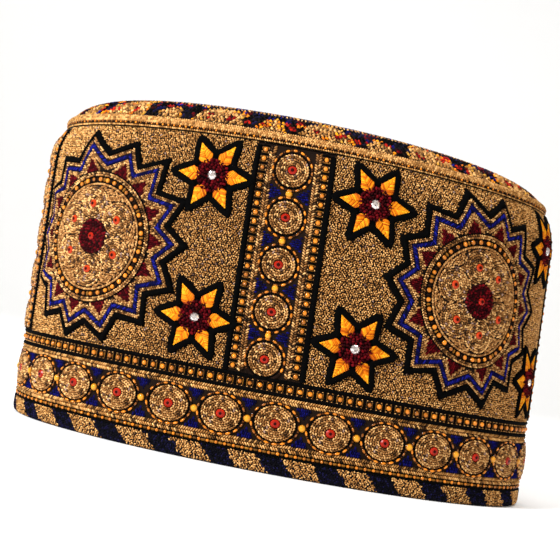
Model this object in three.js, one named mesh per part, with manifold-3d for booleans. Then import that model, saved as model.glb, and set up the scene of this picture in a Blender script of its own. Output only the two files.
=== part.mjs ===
// A balochi cap: a tall oval wall of embroidered cotton, closed by a low crown and
// standing on its striped hem. Millimetres, +Z up, the front of the cap faces -Y.
//
// The padded embroidery that stands proud of the cloth is built as pieces of its own:
// the roundel border, the upright bands, the star medallions and the flowers.
// Places on the wall are given as (s, z): s is measured along the rim from the middle
// of the front, to the right, and z is the height above the rim.

import * as THREE from 'three';
import { mergeVertices } from 'three/addons/utils/BufferGeometryUtils.js';
import Module from 'manifold-3d';

const wasm = await Module();
wasm.setup();

// Driving dimensions of the cloth form
const HALF_WIDTH = 104;
const HALF_DEPTH = 62.4;
const SEAM_HEIGHT = 118.6;
const SHOULDER_START = 100;
const SHOULDER_INSET = 4.3;
const SEAM_SAG = 2.5;
const LEAN = 0.0373;
const MIDDLE_X = 2.1;
const CROWN_RISE = 13.4;
const CROWN_TILT = 0.018;
const WALL_THICKNESS = 2.5;
const CROWN_THICKNESS = 2.2;
const HEM_HEIGHT = 6;
const SEWN_GAP = 0.3;
const ROUND_STEPS = 44;

// Embroidered pieces lie this far off the cloth, and are this thick at their edge
const PATCH_BACK = 0.6;
const PATCH_EDGE = 0.6;
const ROUNDEL_SUNK = 0.5;

// Roundels and the stones set in them
const STONE = { radius: 2, table: 1, height: 0.9, sunk: 0.6, sides: 7 };
const BORDER = { low: 10.9, high: 25.7, middle: 18.3, count: 27, first: 5.3, halfWidth: 7.6, halfHeight: 6.6 };
const BAND = { low: 35.4, high: 117, halfWidth: 14.9, roundelRadius: 6.2, lowest: 40.6, pitch: 17.4, count: 5 };

// Upright bands round the wall, from the front to the right
const BANDS = [
  { name: 'band_front', s: -0.7 },
  { name: 'band_right', s: 140 },
  { name: 'band_back', s: 275.7 },
  { name: 'band_left', s: 405.9 },
];

// Star medallions, one in each panel between two bands
const STARS = [
  { name: 'star_front_right', s: 78, z: 76.2, turn: -3 },
  { name: 'star_back_right', s: 207.9, z: 76, turn: 0 },
  { name: 'star_back_left', s: 340.8, z: 76, turn: 0 },
  { name: 'star_front_left', s: 452.4, z: 75.6, turn: 1 },
];
const STAR = { points: 14, tip: 40, valley: 33, disc: 25.2, coil: 20.5, knot: 6.4, stoneRing: 12.6, stones: 6 };

// Flowers in the corners beside the front stars
const FLOWERS = [
  { name: 'flower_left_upper', s: -30.9, z: 103.2 },
  { name: 'flower_left_lower', s: -30.9, z: 50.8 },
  { name: 'flower_right_upper', s: 30.5, z: 103.2 },
  { name: 'flower_right_lower', s: 30.5, z: 51 },
  { name: 'flower_side_upper', s: 124, z: 103.2 },
  { name: 'flower_side_lower', s: 124, z: 50 },
];
const FLOWER = { petals: 6, tip: 15, shoulder: 10.6, shoulderTurn: 18, valley: 8.6, centre: 5.8 };

// Stars and flowers are drawn evenly, and then pulled in towards the ends of the oval:
// a place that is even along the rim in the drawing is sewn on at the real place
const PULLED_IN = [
  { even: -150, real: -150 },
  { even: -140, real: -131 },
  { even: -118.7, real: -109.4 },
  { even: -103.5, real: -102.3 },
  { even: -78.5, real: -78.5 },
  { even: 78, real: 78 },
  { even: 103, real: 98 },
  { even: 118.2, real: 108.6 },
  { even: 139.6, real: 124.3 },
  { even: 165, real: 165 },
];

const COLOURS = {
  gold: { color: 0xb08c5a, roughness: 0.75, metalness: 0.15 },
  navy: { color: 0x14102a, roughness: 0.9, metalness: 0 },
  bronze: { color: 0xa5824e, roughness: 0.7, metalness: 0.2 },
  yellow: { color: 0xf0951c, roughness: 0.8, metalness: 0 },
};

// The oval's angle at a distance along the rim, from a running sum of small steps
const ARC_STEPS = 1440;
const arcLengths = [0];
for (let i = 1; i <= ARC_STEPS; i += 1) {
  const t = ((i - 0.5) / ARC_STEPS) * 2 * Math.PI;
  const step = Math.hypot(HALF_WIDTH * Math.cos(t), HALF_DEPTH * Math.sin(t)) * ((2 * Math.PI) / ARC_STEPS);
  arcLengths.push(arcLengths[i - 1] + step);
}
const RIM_LENGTH = arcLengths[ARC_STEPS];

function angleAt(s) {
  const wrapped = ((s % RIM_LENGTH) + RIM_LENGTH) % RIM_LENGTH;
  let i = 0;
  while (arcLengths[i + 1] < wrapped) i += 1;
  const part = (wrapped - arcLengths[i]) / (arcLengths[i + 1] - arcLengths[i]);
  return ((i + part) / ARC_STEPS) * 2 * Math.PI;
}

function pulledIn(s) {
  const around = ((((s + RIM_LENGTH / 2) % RIM_LENGTH) + RIM_LENGTH) % RIM_LENGTH) - RIM_LENGTH / 2;
  const last = PULLED_IN.findIndex((place) => place.even >= around);
  if (last < 1) return s;
  const [a, b] = [PULLED_IN[last - 1], PULLED_IN[last]];
  return a.real + ((around - a.even) / (b.even - a.even)) * (b.real - a.real);
}

// A point of the outer form: the oval scaled about its middle at a height, with the
// lean to the left and the seam that sags towards both ends. The rim's middle stands a
// little to the right of the origin, so that the leaning cap as a whole is centred.
function formPoint(t, scale, z) {
  const x = HALF_WIDTH * scale * Math.sin(t);
  const y = -HALF_DEPTH * scale * Math.cos(t);
  const sag = SEAM_SAG * (z / SEAM_HEIGHT) * (x / HALF_WIDTH) ** 2;
  const tilt = Math.max(0, z - SEAM_HEIGHT) / CROWN_RISE * CROWN_TILT * x;
  return new THREE.Vector3(MIDDLE_X + x - LEAN * z, y, z - sag - tilt);
}

function wallScale(z) {
  const up = Math.max(0, (z - SHOULDER_START) / (SEAM_HEIGHT - SHOULDER_START));
  return 1 - (SHOULDER_INSET / HALF_WIDTH) * up ** 3;
}

// Height of the crown at a share of the way out from its middle (1 is the seam)
function crownHeight(out) {
  return SEAM_HEIGHT + CROWN_RISE * (1 - out ** 8) ** 0.55;
}

// Moves a point off a surface given by two parameters, along its outward normal
function offSurface(surface, u, v, off) {
  const point = surface(u, v);
  const alongU = surface(u + 0.002, v).sub(surface(u - 0.002, v));
  const alongV = surface(u, v + 0.01).sub(surface(u, v - 0.01));
  return point.addScaledVector(alongU.cross(alongV).normalize(), off);
}

function wallPoint(t, z, off) {
  return offSurface((u, v) => formPoint(u, wallScale(Math.min(v, SEAM_HEIGHT)), v), t, z, off);
}

// A point of the crown, whose normal is taken from its slope towards the middle
function crownPoint(t, out, off) {
  const seamScale = wallScale(SEAM_HEIGHT);
  const at = (u, share) => formPoint(u, seamScale * share, crownHeight(Math.min(share, 1)));
  const inner = Math.max(out - 0.004, 0);
  const outer = Math.min(out + 0.004, 0.9999);
  const alongT = at(t + 0.01, Math.max(out, 0.01)).sub(at(t - 0.01, Math.max(out, 0.01)));
  const upwards = at(t, inner).sub(at(t, outer));
  const normal = out < 0.02 ? new THREE.Vector3(0, 0, 1) : alongT.cross(upwards).normalize();
  return at(t, out).addScaledVector(normal, off);
}

// Closed solids are gathered as points and triangles
function solidOf(points, triangles) {
  const geometry = new THREE.BufferGeometry();
  geometry.setAttribute('position', new THREE.Float32BufferAttribute(points.flatMap((p) => [p.x, p.y, p.z]), 3));
  geometry.setIndex(triangles.flat());
  return geometry;
}

function quad(a, b, c, d) {
  return [[a, b, c], [a, c, d]];
}

// A ring: a closed cross-section carried round the oval. The section is a list of
// functions of the oval's angle, listed anticlockwise as seen looking along the way round.
function ringSolid(section, steps) {
  const points = [];
  const triangles = [];
  const n = section.length;
  for (let i = 0; i < steps; i += 1) {
    const t = (i / steps) * 2 * Math.PI;
    section.forEach((corner) => points.push(corner(t)));
  }
  for (let i = 0; i < steps; i += 1) {
    const here = i * n;
    const next = ((i + 1) % steps) * n;
    for (let j = 0; j < n; j += 1) {
      const k = (j + 1) % n;
      triangles.push(...quad(here + j, next + j, next + k, here + k));
    }
  }
  return solidOf(points, triangles);
}

// A patch sewn on the wall: rings of (ds, dz, top) points round a middle point, each
// ring either as long as the next or half as long, mapped on to the wall. The back can
// have more rings than the top, so that it follows the cloth closely.
function patchSolid(place, middleTop, rings, backRings = rings) {
  const points = [];
  const triangles = [];
  const put = (ds, dz, off) => {
    points.push(wallPoint(angleAt(pulledIn(place.s + ds)), Math.min(place.z + dz, SEAM_HEIGHT - 0.4), off));
    return points.length - 1;
  };
  const side = (isTop) => {
    const middle = put(0, 0, isTop ? middleTop : PATCH_BACK);
    const chosen = isTop ? rings : backRings;
    const rows = chosen.map((ring) => ring.map((p) => put(p.ds, p.dz, isTop ? p.top : PATCH_BACK)));
    const add = (a, b, c) => triangles.push(isTop ? [a, b, c] : [a, c, b]);
    rows[0].forEach((p, i) => add(middle, p, rows[0][(i + 1) % rows[0].length]));
    for (let r = 1; r < rows.length; r += 1) {
      const inner = rows[r - 1];
      const outer = rows[r];
      const ratio = outer.length / inner.length;
      outer.forEach((p, i) => {
        const q = outer[(i + 1) % outer.length];
        const a = inner[Math.floor(i / ratio) % inner.length];
        const b = inner[Math.floor((i + 1) / ratio) % inner.length];
        add(a, p, q);
        if (a !== b) add(a, q, b);
      });
    }
    return rows[rows.length - 1];
  };
  const top = side(true);
  const back = side(false);
  top.forEach((p, i) => {
    const j = (i + 1) % top.length;
    triangles.push(...quad(back[i], back[j], top[j], p));
  });
  return solidOf(points, triangles);
}

function circleRing(radius, count, top, turn = 0) {
  return Array.from({ length: count }, (_, i) => {
    const a = turn + (i / count) * 2 * Math.PI;
    return { ds: radius * Math.cos(a), dz: radius * Math.sin(a), top };
  });
}

// Stones, and roundels with their stone, are short turned shapes standing on the wall:
// rows of (width, height, off), closed by a flat face at both ends
function turnedOnWall(place, rows, sides) {
  const points = [];
  const triangles = [];
  rows.forEach((row) => {
    for (let i = 0; i < sides; i += 1) {
      const a = ((i + 0.5) / sides) * 2 * Math.PI;
      const s = place.s + row.width * Math.cos(a);
      points.push(wallPoint(angleAt(s), Math.min(place.z + row.height * Math.sin(a), SEAM_HEIGHT - 0.2), row.off));
    }
  });
  for (let r = 0; r + 1 < rows.length; r += 1) {
    for (let i = 0; i < sides; i += 1) {
      const j = (i + 1) % sides;
      const low = r * sides;
      const high = low + sides;
      triangles.push(...quad(low + i, low + j, high + j, high + i));
    }
  }
  const last = (rows.length - 1) * sides;
  for (let i = 1; i + 1 < sides; i += 1) {
    triangles.push([0, i + 1, i]);
    triangles.push([last, last + i, last + i + 1]);
  }
  return solidOf(points, triangles);
}

function stoneOn(place, seat) {
  const rows = [
    { width: STONE.radius, height: STONE.radius, off: seat - STONE.sunk },
    { width: STONE.table, height: STONE.table, off: seat + STONE.height },
  ];
  return turnedOnWall(place, rows, STONE.sides);
}

function roundelOn(place, halfWidth, halfHeight, seat) {
  const top = seat + 0.9;
  const rows = [
    { width: halfWidth, height: halfHeight, off: seat - ROUNDEL_SUNK },
    { width: STONE.radius, height: STONE.radius, off: top },
    { width: STONE.table, height: STONE.table, off: top + STONE.height },
  ];
  return turnedOnWall(place, rows, STONE.sides);
}

// Joins closed solids that run into each other
function fuse(geometries) {
  const bodies = geometries.map((geometry) => {
    const bare = mergeVertices(geometry, 1e-5);
    return new wasm.Manifold(new wasm.Mesh({
      numProp: 3,
      vertProperties: new Float32Array(bare.attributes.position.array),
      triVerts: new Uint32Array(bare.index.array),
    }));
  });
  const mesh = bodies.reduce((sum, body) => sum.add(body)).getMesh();
  const joined = new THREE.BufferGeometry();
  joined.setAttribute('position', new THREE.BufferAttribute(mesh.vertProperties, 3));
  joined.setIndex(new THREE.BufferAttribute(mesh.triVerts, 1));
  return joined;
}

const group = new THREE.Group();
group.name = 'balochi_cap';

function addPiece(name, geometry, colour) {
  geometry.computeVertexNormals();
  const mesh = new THREE.Mesh(geometry, new THREE.MeshStandardMaterial(COLOURS[colour]));
  mesh.name = name;
  group.add(mesh);
}

// The side wall: quilted cotton, open below and above, turned in a little at the seam
const WALL_HEIGHTS = [HEM_HEIGHT + SEWN_GAP, 101, 108, 114, SEAM_HEIGHT];
const wallSection = [
  ...WALL_HEIGHTS.map((z) => (t) => wallPoint(t, z, 0)),
  ...[SEAM_HEIGHT, 111, 100, HEM_HEIGHT + SEWN_GAP].map((z) => (t) => wallPoint(t, z, -WALL_THICKNESS)),
];
addPiece('side_wall', ringSolid(wallSection, ROUND_STEPS), 'gold');

// The hem: a folded band of striped cloth that carries the cap, with a flat foot
const HEM_SECTION = [
  { off: -0.9, z: 0 },
  { off: 0.2, z: 0.7 },
  { off: 0.6, z: 2.4 },
  { off: 0.6, z: HEM_HEIGHT },
  { off: -2.7, z: HEM_HEIGHT },
  { off: -2.7, z: 0.9 },
  { off: -2.2, z: 0 },
];
function hemPoint(t, z, off) {
  const outward = new THREE.Vector3(Math.sin(t) / HALF_WIDTH, -Math.cos(t) / HALF_DEPTH, 0).normalize();
  return formPoint(t, 1, z).addScaledVector(outward, off);
}
addPiece('hem_band', ringSolid(HEM_SECTION.map((p) => (t) => hemPoint(t, p.z, p.off)), ROUND_STEPS), 'navy');

// The crown: a low stiff dome with a rounded edge, sewn on above the wall
function crownSolid() {
  const outerRows = [0.9997, 0.985, 0.95, 0.88, 0.75, 0.5];
  const innerRows = [0.6, 0.91, 0.9997];
  const points = [];
  const triangles = [];
  const rows = [
    ...outerRows.toReversed().map((out) => ({ out, off: 0 })),
    ...innerRows.toReversed().map((out) => ({ out, off: -CROWN_THICKNESS })),
  ];
  rows.forEach((row) => {
    for (let i = 0; i < ROUND_STEPS; i += 1) {
      const t = (i / ROUND_STEPS) * 2 * Math.PI;
      const p = crownPoint(t, row.out, row.off);
      if (row.out > 0.99) p.z = crownPoint(t, row.out, 0).z + 0.1;
      points.push(p);
    }
  });
  for (let r = 0; r + 1 < rows.length; r += 1) {
    for (let i = 0; i < ROUND_STEPS; i += 1) {
      const j = (i + 1) % ROUND_STEPS;
      const upper = r * ROUND_STEPS;
      const lower = upper + ROUND_STEPS;
      triangles.push(...quad(upper + i, lower + i, lower + j, upper + j));
    }
  }
  const top = points.push(crownPoint(0, 0, 0)) - 1;
  const under = points.push(crownPoint(0, 0, -CROWN_THICKNESS)) - 1;
  const last = (rows.length - 1) * ROUND_STEPS;
  for (let i = 0; i < ROUND_STEPS; i += 1) {
    const j = (i + 1) % ROUND_STEPS;
    triangles.push([top, i, j]);
    triangles.push([under, last + j, last + i]);
  }
  return solidOf(points, triangles);
}
addPiece('crown', crownSolid(), 'bronze');

// Gold piping that covers the foot of the crown, just above the seam
const PIPING_SECTION = [
  { out: 0.9985, off: SEWN_GAP },
  { out: 0.9985, off: 1.2 },
  { out: 0.9945, off: 1.6 },
  { out: 0.9875, off: 1.2 },
  { out: 0.9875, off: SEWN_GAP },
];
addPiece('crown_piping', ringSolid(PIPING_SECTION.map((p) => (t) => crownPoint(t, p.out, p.off)), ROUND_STEPS), 'gold');

// The roundel border: a ribbon all the way round above the hem, with coiled roundels
// that each hold a red stone
function roundelBorder() {
  const steps = BORDER.count * 2;
  const face = PATCH_BACK + PATCH_EDGE;
  const section = [
    { z: BORDER.low, off: PATCH_BACK },
    { z: BORDER.low, off: face },
    { z: BORDER.high, off: face },
    { z: BORDER.high, off: PATCH_BACK },
  ];
  const even = (t) => angleAt(BORDER.first + (t / (2 * Math.PI)) * RIM_LENGTH);
  const ribbon = ringSolid(section.map((p) => (t) => wallPoint(even(t), p.z, p.off)), steps);
  const roundels = Array.from({ length: BORDER.count }, (_, i) => {
    const place = { s: BORDER.first + (i * RIM_LENGTH) / BORDER.count, z: BORDER.middle };
    return roundelOn(place, BORDER.halfWidth, BORDER.halfHeight, face);
  });
  return fuse([ribbon, ...roundels]);
}
addPiece('roundel_border', roundelBorder(), 'bronze');

// An upright band: a strip from the border to the seam with five roundels in a row
function uprightBand(place) {
  const columns = 6;
  const heights = [BAND.low, 75, 104, 111, BAND.high];
  const face = PATCH_BACK + PATCH_EDGE;
  const points = [];
  const triangles = [];
  [face, PATCH_BACK].forEach((off) => {
    heights.forEach((z) => {
      for (let i = 0; i <= columns; i += 1) {
        const ds = -BAND.halfWidth + (i / columns) * 2 * BAND.halfWidth;
        points.push(wallPoint(angleAt(place.s + ds), z, off));
      }
    });
  });
  const wide = columns + 1;
  const layer = wide * heights.length;
  const at = (row, column) => row * wide + column;
  for (let r = 0; r + 1 < heights.length; r += 1) {
    for (let i = 0; i < columns; i += 1) {
      const corners = [at(r, i), at(r, i + 1), at(r + 1, i + 1), at(r + 1, i)];
      triangles.push(...quad(...corners));
      triangles.push(...quad(...corners.map((c) => c + layer).reverse()));
    }
  }
  const edge = [];
  for (let i = 0; i < columns; i += 1) edge.push(at(0, i));
  for (let r = 0; r + 1 < heights.length; r += 1) edge.push(at(r, columns));
  for (let i = columns; i > 0; i -= 1) edge.push(at(heights.length - 1, i));
  for (let r = heights.length - 1; r > 0; r -= 1) edge.push(at(r, 0));
  edge.forEach((p, i) => {
    const q = edge[(i + 1) % edge.length];
    triangles.push(...quad(p, p + layer, q + layer, q));
  });
  const strip = solidOf(points, triangles);
  const roundels = Array.from({ length: BAND.count }, (_, i) => {
    const middle = { s: place.s, z: BAND.lowest + i * BAND.pitch };
    return roundelOn(middle, BAND.roundelRadius, BAND.roundelRadius, face);
  });
  return fuse([strip, ...roundels]);
}
BANDS.forEach((band) => addPiece(band.name, uprightBand(band), 'bronze'));

// A star medallion: fourteen points round a raised disc, with six small stones round
// a knotted middle that holds a seventh
function starMedallion(place) {
  const edge = PATCH_BACK + PATCH_EDGE;
  const turn = THREE.MathUtils.degToRad(place.turn);
  const count = STAR.points * 2;
  const outline = Array.from({ length: count }, (_, i) => {
    const a = turn + (i / count) * 2 * Math.PI;
    const radius = i % 2 === 0 ? STAR.tip : STAR.valley;
    return { ds: radius * Math.cos(a), dz: radius * Math.sin(a), top: edge };
  });
  const knot = circleRing(STAR.knot, STAR.points, 2.1, turn);
  const coil = circleRing(STAR.coil, STAR.points, 1.7, turn);
  const between = circleRing(STAR.coil / 2, STAR.points, 1.7, turn);
  const disc = circleRing(STAR.disc, STAR.points * 2, 1.4, turn);
  const foot = circleRing(STAR.valley - 1.5, STAR.points * 2, edge, turn);
  const rings = [knot, coil, foot, outline];
  const backRings = [between, coil, disc, foot, outline];
  const stones = Array.from({ length: STAR.stones }, (_, i) => {
    const a = THREE.MathUtils.degToRad(40 + (i * 360) / STAR.stones);
    const across = pulledIn(place.s + STAR.stoneRing * Math.cos(a));
    return stoneOn({ s: across, z: place.z + STAR.stoneRing * Math.sin(a) }, 1.7);
  });
  return fuse([patchSolid(place, 2.3, rings, backRings), ...stones, stoneOn(place, 2.3)]);
}
STARS.forEach((star) => addPiece(star.name, starMedallion(star), 'bronze'));

// A flower: six pointed petals round a raised middle with a clear stone
function flowerPatch(place) {
  const edge = PATCH_BACK + PATCH_EDGE;
  const petalTurn = (2 * Math.PI) / FLOWER.petals;
  const shoulderTurn = THREE.MathUtils.degToRad(FLOWER.shoulderTurn);
  const outline = [];
  for (let i = 0; i < FLOWER.petals; i += 1) {
    const a = i * petalTurn;
    [
      { turn: a, radius: FLOWER.tip },
      { turn: a + shoulderTurn, radius: FLOWER.shoulder },
      { turn: a + petalTurn / 2, radius: FLOWER.valley },
      { turn: a + petalTurn - shoulderTurn, radius: FLOWER.shoulder },
    ].forEach((p) => outline.push({ ds: p.radius * Math.cos(p.turn), dz: p.radius * Math.sin(p.turn), top: edge }));
  }
  const rings = [circleRing(FLOWER.centre, FLOWER.petals * 2, 1.7), outline];
  return fuse([patchSolid(place, 1.9, rings), stoneOn({ s: pulledIn(place.s), z: place.z }, 1.8)]);
}
FLOWERS.forEach((flower) => addPiece(flower.name, flowerPatch(flower), 'yellow'));

export default group;
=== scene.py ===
import math
import bpy
import numpy as np
from mathutils import Matrix, Vector


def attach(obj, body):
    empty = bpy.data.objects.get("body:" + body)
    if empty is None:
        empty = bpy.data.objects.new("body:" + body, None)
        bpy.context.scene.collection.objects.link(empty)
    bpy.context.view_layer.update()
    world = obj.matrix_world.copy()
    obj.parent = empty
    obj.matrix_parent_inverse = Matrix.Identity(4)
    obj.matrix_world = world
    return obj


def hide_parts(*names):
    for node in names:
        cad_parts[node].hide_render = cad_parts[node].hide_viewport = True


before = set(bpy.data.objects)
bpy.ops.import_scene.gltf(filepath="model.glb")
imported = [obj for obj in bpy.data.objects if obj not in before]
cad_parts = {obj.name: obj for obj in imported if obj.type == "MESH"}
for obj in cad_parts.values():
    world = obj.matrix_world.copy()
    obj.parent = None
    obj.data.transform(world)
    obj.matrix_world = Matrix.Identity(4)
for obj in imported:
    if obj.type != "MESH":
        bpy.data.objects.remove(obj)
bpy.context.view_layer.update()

# Side wall. The real one is a strip of cotton, quilted in two layers, joined into an
# oval tube and turned in a little at the top, where the crown is sewn on.
# Places on it are (s, z, off) in millimetres: s runs along the rim from the middle of
# the front to the right, z is the height above the rim, off is how proud a point lies.
MM = 0.001
HALF_WIDTH, HALF_DEPTH = 104.0, 62.4
SEAM_HEIGHT = 118.6
SHOULDER_START, SHOULDER_INSET = 100.0, 4.3
SEAM_SAG, LEAN, MIDDLE_X = 2.5, 0.0373, 2.1
CROWN_RISE, CROWN_TILT = 13.4, 0.018
WALL_FOOT, WALL_THICKNESS = 6.3, 2.5

rim_angles = np.linspace(0, 2 * math.pi, 1441)
half_way = (rim_angles[1:] + rim_angles[:-1]) / 2
rim_steps = np.hypot(HALF_WIDTH * np.cos(half_way), HALF_DEPTH * np.sin(half_way)) * np.diff(rim_angles)
rim_lengths = np.concatenate([[0], np.cumsum(rim_steps)])
RIM = rim_lengths[-1]


def rim_angle(s):
    return np.interp(s % RIM, rim_lengths, rim_angles)


def cap_form(angle, scale, z):
    x = HALF_WIDTH * scale * np.sin(angle)
    y = -HALF_DEPTH * scale * np.cos(angle)
    sag = SEAM_SAG * (z / SEAM_HEIGHT) * (x / HALF_WIDTH) ** 2
    tilt = np.maximum(0, z - SEAM_HEIGHT) / CROWN_RISE * CROWN_TILT * x
    return np.stack([MIDDLE_X + x - LEAN * z, y, z - sag - tilt], -1)


def wall_scale(z):
    climbed = np.maximum(0, (z - SHOULDER_START) / (SEAM_HEIGHT - SHOULDER_START))
    return 1 - SHOULDER_INSET / HALF_WIDTH * climbed**3


def wall_form(angle, z):
    return cap_form(angle, wall_scale(np.minimum(z, SEAM_HEIGHT)), z)


def stand_off(surface, u, v, off, step):
    """Points that lie off the surface, measured square to it."""
    turn = 0.002
    along = surface(u + turn, v) - surface(u - turn, v)
    upward = surface(u, v + step) - surface(u, np.maximum(v - step, 0))
    normal = np.cross(along, upward)
    normal /= np.linalg.norm(normal, axis=-1, keepdims=True)
    return (surface(u, v) + normal * off[:, None]) * MM


def on_wall(points):
    s, z, off = points.T
    return stand_off(wall_form, rim_angle(s), z, off, 0.01)


def flat_sheet(columns, rows):
    """A sheet one unit square, to be shaped into cloth, a pad or a ribbon."""
    bpy.ops.object.select_all(action="DESELECT")
    middle = (0.5, 0.5, 0)
    bpy.ops.mesh.primitive_grid_add(x_subdivisions=columns, y_subdivisions=rows, size=1, location=middle)
    bpy.ops.object.transform_apply(location=True, rotation=True, scale=True)
    return bpy.context.object


def cloth_sheet(name, columns, rows, *cloths):
    sheet = flat_sheet(columns, rows)
    sheet.name = sheet.data.name = name
    for cloth in cloths:
        sheet.data.materials.append(cloth)
    return sheet


def reshape(piece, shape):
    points = np.zeros(len(piece.data.vertices) * 3)
    piece.data.vertices.foreach_get("co", points)
    piece.data.vertices.foreach_set("co", shape(points.reshape(-1, 3)).ravel())
    piece.data.update()


def close_seams(piece, distance=1e-6):
    bpy.ops.object.mode_set(mode="EDIT")
    bpy.ops.mesh.select_all(action="SELECT")
    bpy.ops.mesh.remove_doubles(threshold=distance)
    bpy.ops.object.mode_set(mode="OBJECT")


def give_thickness(piece, thickness, lining=0):
    wall = piece.modifiers.new("thickness", "SOLIDIFY")
    wall.thickness = thickness
    wall.offset = -1
    wall.material_offset = lining
    wall.material_offset_rim = lining
    bpy.ops.object.modifier_apply(modifier=wall.name)


def dyed(red, green, blue):
    """A dye given as 0 to 255, on the even scale that a shader works in."""
    share = [v / 255 for v in (red, green, blue)]
    return [v / 12.92 if v <= 0.04045 else ((v + 0.055) / 1.055) ** 2.4 for v in share] + [1]


def new_finish(name, settings=()):
    material = bpy.data.materials.new(name)
    material.use_nodes = True
    nodes, links = material.node_tree.nodes, material.node_tree.links
    finish = nodes["Principled BSDF"]
    for socket, value in settings:
        finish.inputs[socket].default_value = value
    return material, nodes, links, finish


def add_node(nodes, kind, settings=(), **options):
    node = nodes.new("ShaderNode" + kind)
    for option, value in options.items():
        setattr(node, option, value)
    for socket, value in settings:
        node.inputs[socket].default_value = value
    return node


def add_bump(nodes, links, finish, height, strength, distance):
    bump = add_node(nodes, "Bump", [("Strength", strength), ("Distance", distance)])
    links.new(height, bump.inputs["Height"])
    links.new(bump.outputs["Normal"], finish.inputs["Normal"])


def cotton(name, dark, light, nap=0.05):
    settings = [("Roughness", 0.9), ("Sheen Weight", nap), ("Specular IOR Level", 0.1)]
    material, nodes, links, finish = new_finish(name, settings)
    places = add_node(nodes, "TexCoord")
    slubs = add_node(nodes, "TexNoise", [("Scale", 1400), ("Detail", 3)])
    wear = add_node(nodes, "TexNoise", [("Scale", 40)])
    shade = add_node(nodes, "Math", [(1, 0.6)], operation="MULTIPLY_ADD")
    colour = add_node(nodes, "Mix", [("A", dyed(*dark)), ("B", dyed(*light))], data_type="RGBA")
    links.new(places.outputs["Object"], slubs.inputs["Vector"])
    links.new(places.outputs["Object"], wear.inputs["Vector"])
    links.new(slubs.outputs["Fac"], shade.inputs[0])
    links.new(wear.outputs["Fac"], shade.inputs[2])
    links.new(shade.outputs[0], colour.inputs["Factor"])
    links.new(colour.outputs["Result"], finish.inputs["Base Color"])
    add_bump(nodes, links, finish, slubs.outputs["Fac"], 0.5, 0.0003)
    return material


def hand_over(piece, slot, *nodes):
    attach(piece, "root")
    if nodes:
        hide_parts(*nodes)


# Brown ground cloth, its own brown darkened to near black as painted shade for the gaps between the stitches
# and coils that cover it.
gap_shaded_ground_cotton = cotton("brown_ground_cotton", (6, 3, 1), (24, 13, 6), nap=0)
lining_cotton = cotton("natural_lining_cotton", (118, 96, 68), (176, 150, 112), nap=0.25)

side_wall = cloth_sheet("side_wall_cloth", 176, 24, gap_shaded_ground_cotton, lining_cotton)
reshape(side_wall, lambda p: on_wall(p * [RIM, SEAM_HEIGHT - WALL_FOOT, 0] + [0, WALL_FOOT, 0]))
close_seams(side_wall)
give_thickness(side_wall, WALL_THICKNESS * MM, lining=1)
bpy.ops.object.shade_smooth_by_angle(angle=math.radians(50))
hand_over(side_wall, "gold_cloth", "side_wall")

# Gold ground of the wall. Metallic thread worked in small knotted stitches that lie
# every way, with the brown cloth between them, its colour darkened to near black as painted shade. It stops
# where the padded embroidery begins: four upright bands, four stars and six flowers.
# Stars and flowers are drawn evenly, then pulled in towards the ends of the oval.
BANDS = {"band_front": -1.1, "band_right": 140.0, "band_back": 275.7, "band_left": 405.9}
STARS = {
    "star_front_right": (76.9, 76.6, {
        1.8: 39, 27.5: 39.4, 54.8: 39.8, 76.9: 40.2, 104: 40.2, 130.4: 40, 153.8: 38.2,
        177.4: 38.4, 204.3: 39.2, 229.7: 40.4, 254: 39.2, 284.3: 39.6, 309.4: 40, 335.5: 38.4,
    }),
    "star_back_right": (207.9, 76, {360 / 14 * i: 40 for i in range(14)}),
    "star_back_left": (340.8, 76, {360 / 14 * i: 40 for i in range(14)}),
    "star_front_left": (454.1, 74.6, {
        1.7: 39.6, 24.9: 40.9, 48.4: 42.2, 70: 39.2, 103: 41.3, 129.4: 38.6, 153.1: 40,
        180.6: 40, 207: 40, 236: 39.4, 259.6: 39, 286.5: 39.6, 312.7: 40, 337.3: 40,
    }),
}
FLOWERS = {
    "flower_left_upper": (-30.5, 103.2),
    "flower_left_lower": (-29.1, 50.8),
    "flower_right_upper": (30.1, 103.1),
    "flower_right_lower": (30.3, 49.9),
    "flower_side_upper": (124, 103.2),
    "flower_side_lower": (124, 50),
}
STAR_VALLEY = 32.5
PETAL_EDGE = [
    (8.1, -30), (9.6, -17.8), (11.4, -11.3), (14.4, -3), (15.1, 0), (14.4, 3), (11.4, 11.3), (9.6, 17.8),
]
DRAWN_PLACES = [-RIM / 2, -150, -140, -118.7, -103.5, -78.5, 78, 103, 118.2, 139.6, 165, RIM / 2]
SEWN_PLACES = [-RIM / 2, -150, -131, -109.4, -102.3, -78.5, 78, 98, 108.6, 124.3, 165, RIM / 2]
GROUND_LOW, GROUND_HIGH, GROUND_PITCH, PALE_SHARE = 34.4, 118.5, (0.94, 0.77), 0.03
BAND_ROOM, STAR_ROOM, FLOWER_ROOM = 15.0, 1.15, 1.1

chances = np.random.default_rng(11)
workbox = []


def kept(material):
    """Keeps a thread, a glass or a padding cloth in the workbox, and gives its number there."""
    workbox.append(material)
    return len(workbox) - 1


def from_front(s):
    return (s + RIM / 2) % RIM - RIM / 2


def on_pulled_wall(points):
    sewn = points.copy()
    sewn[:, 0] = np.interp(from_front(points[:, 0]), DRAWN_PLACES, SEWN_PLACES)
    return on_wall(sewn)
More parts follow.
